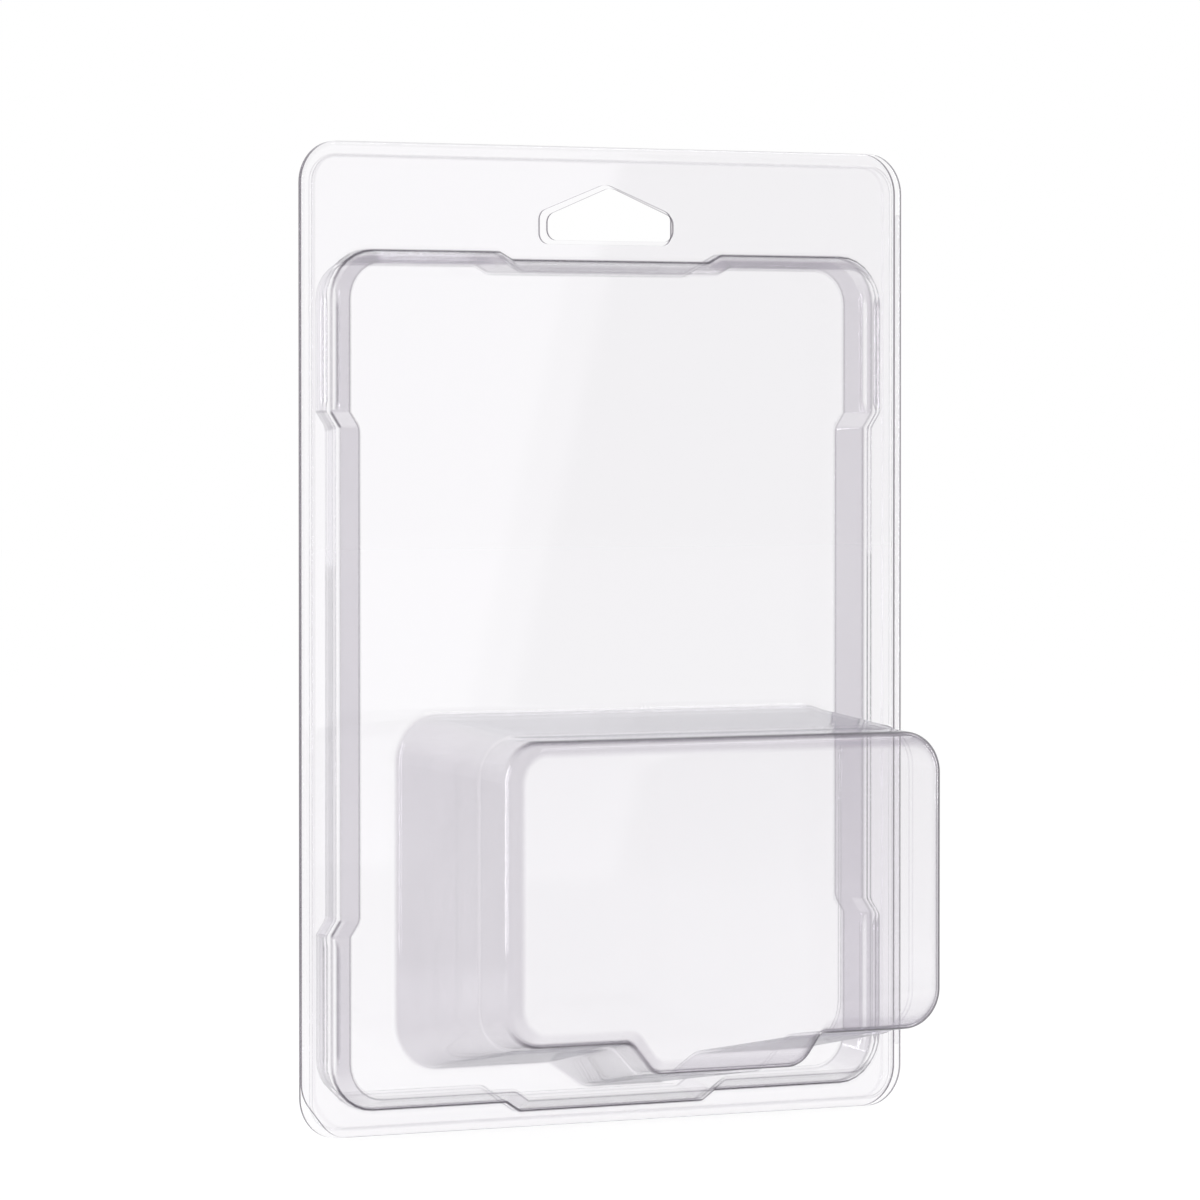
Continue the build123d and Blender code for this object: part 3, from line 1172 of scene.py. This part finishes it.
@dataclass(frozen=True)
class SoftBox:
    """One soft studio lamp aimed at the case."""

    name: str
    place: tuple[float, float, float]
    width: float
    height: float
    power: float
    roll: float = 0.0

    def build(self, aim: Vector) -> bpy.types.Object:
        """Area lamp at its place, turned to the aim.

        Args:
            aim: Point the lamp faces.

        Returns:
            The lamp.
        """
        data = bpy.data.lights.new(self.name, "AREA")
        data.shape = "RECTANGLE"
        data.size = self.width
        data.size_y = self.height
        data.energy = self.power
        lamp = bpy.data.objects.new(self.name, data)
        lamp.location = self.place
        turn = (aim - lamp.location).to_track_quat("-Z", "Y")
        lamp.rotation_euler = (turn @ Quaternion((0.0, 0.0, 1.0), radians(self.roll))).to_euler()
        bpy.context.collection.objects.link(lamp)
        return lamp


@dataclass
class Studio:
    """White studio: sky, soft boxes, floor and the photograph's long lens."""

    lens: float = 225.8
    sensor: float = 36.0
    clip: tuple[float, float] = (0.05, 50.0)
    camera_place: tuple[float, float, float] = (-0.8221, -1.2161, -0.0470)
    camera_turn: tuple[float, float, float] = (90.0 - 1.293, 0.0, -34.0)
    aim: tuple[float, float, float] = (0.0, -0.015, -0.087)
    room_stops: tuple[tuple[float, float], ...] = ((0.0, 0.32), (0.5, 0.58), (1.0, 0.95))
    fill: COLOUR = neutral(0.8)
    white: COLOUR = neutral(1.0)
    clear_bounces: int = 48
    floor: PaleFloor = field(default_factory=PaleFloor)
    boxes: tuple[SoftBox, ...] = (
        SoftBox("left_strip", (-0.397, 0.243, -0.01), 0.12, 0.34, 1.3),
        SoftBox("right_strip", (1.30, -0.20, -0.10), 0.12, 1.2, 4.0),
        SoftBox("top_strip", (0.75, -0.45, 1.05), 1.2, 0.10, 2.0),
        SoftBox("overhead", (-0.2, 0.2, 1.6), 1.4, 1.0, 2.0),
        SoftBox("front_panel", (0.26, -0.80, -0.05), 0.44, 0.90, 0.80, -12.5),
    )

    def sky(self) -> None:
        """Even white where it is seen, a room greyer in front for reflections, soft light else."""
        world = bpy.data.worlds.new("studio")
        bpy.context.scene.world = world
        world.use_nodes = True
        tree = world.node_tree
        tree.nodes.clear()
        shade = Shade(tree)
        place = shade.node("TexCoord").outputs["Generated"]
        way = shade.node("SeparateXYZ", Vector=place)
        depth = shade.math("MULTIPLY_ADD", way.outputs["Y"], 0.5, 0.5)
        room = shade.ramp(depth, self.room_stops)
        path = shade.node("LightPath").outputs
        seen = shade.math("MAXIMUM", path["Is Camera Ray"], path["Is Transmission Ray"])
        colour = shade.mix_colour(path["Is Glossy Ray"], self.fill, room)
        colour = shade.mix_colour(seen, colour, self.white)
        back = shade.node("Background", Color=colour, Strength=1.0)
        shade.finish("OutputWorld", back)

    def camera(self) -> bpy.types.Object:
        """Long lens at the place found from the photograph.

        Returns:
            The camera.
        """
        data = bpy.data.cameras.new("camera")
        data.lens = self.lens
        data.sensor_width = self.sensor
        data.sensor_fit = "HORIZONTAL"
        data.clip_start, data.clip_end = self.clip
        thing = bpy.data.objects.new("camera", data)
        thing.location = self.camera_place
        thing.rotation_euler = tuple(radians(a) for a in self.camera_turn)
        bpy.context.collection.objects.link(thing)
        bpy.context.scene.camera = thing
        return thing

    def build(self) -> list[bpy.types.Object]:
        """Set sky, floor, lamps and camera.

        Returns:
            The floor and lamps, which stand by the case and aren't part of it.
        """
        scene = bpy.context.scene
        scene.view_settings.view_transform = "Standard"
        scene.cycles.transparent_max_bounces = self.clear_bounces
        self.sky()
        self.camera()
        return [self.floor.build(), *(box.build(Vector(self.aim)) for box in self.boxes)]


def halves() -> list[ClearHalf]:
    """The two formed halves, in the order they are built.

    Returns:
        The front half and the rear half.
    """
    sizes = CaseSizes()
    # Each half's tones hold its painted shade and painted dark lines for right, left, upper and
    # lower wall.
    return [
        FrontHalf(side=Side.FRONT, name="front_sheet", node="front_shell", body="front",
                  depth=sizes.tray_depth, hole_grow=0.0, reach=sizes.width / 2, finger=True,
                  tones=WallTones(grey=(0.8, 1.0, 1.3, 0.0), root=(0.7, 0.1, 1.0, 1.3),
                                  brow=(0.0, 0.30, 0.15, 0.3), clear_run=1.5, groove=0.25)),
        ClearHalf(side=Side.REAR, name="rear_sheet", node="rear_shell", body="rear",
                  depth=sizes.pan_depth, hole_grow=sizes.hole_spare,
                  reach=sizes.width / 2 - 2 * sizes.bead - sizes.hinge_gap, finger=False,
                  tones=WallTones(grey=(0.9, 0.1, 0.8, 0.0), root=(0.2, 0.0, 0.15, 0.1),
                                  brow=(0.2, 0.0, 0.1, 0.1), clear_run=3.2, groove=0.05)),
    ]


def main() -> None:
    """Build the two halves and the studio."""
    logging.basicConfig(level=logging.INFO, format="%(name)s: %(message)s")
    finish = ClearSheet().material()
    for half in halves():
        piece = half.build()
        piece.data.materials.append(finish)
        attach(piece, half.body)
        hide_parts(half.node)
        LOG.info("%s: %d faces", piece.name, len(piece.data.polygons))
    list(Studio().build())


if __name__ == "__main__":
    main()
